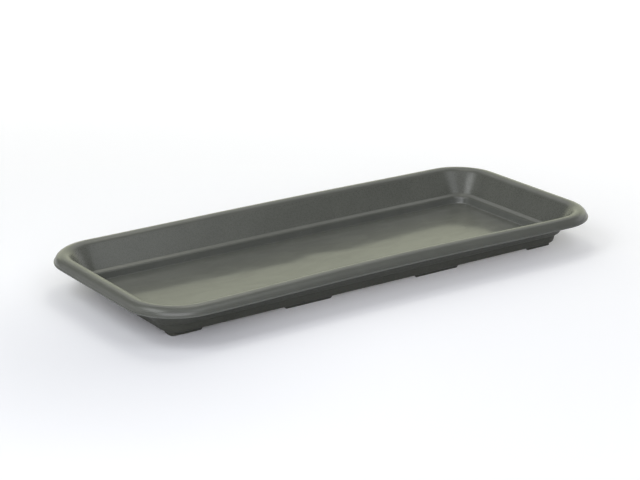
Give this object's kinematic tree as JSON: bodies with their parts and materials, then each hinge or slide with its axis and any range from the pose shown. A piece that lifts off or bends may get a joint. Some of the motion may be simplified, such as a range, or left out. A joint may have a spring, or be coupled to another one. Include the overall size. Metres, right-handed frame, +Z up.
{
  "type": "planter box saucer",
  "caption": "Long shallow saucer that catches water under a planter box, with a rolled rim, stepped sloping walls and short rib feet.",
  "frame": {"origin": "on the ground, under the middle of the tray", "axes": "+X along the length, +Y across the width, +Z up out of the tray"},
  "size_m": [0.6, 0.26, 0.0473],
  "materials": {
    "tray_plastic": "satin olive-grey moulded polypropylene, with a glossier inner floor"
  },
  "bodies": {
    "root": {"saucer_tray": "tray_plastic"}
  },
  "joints": []
}
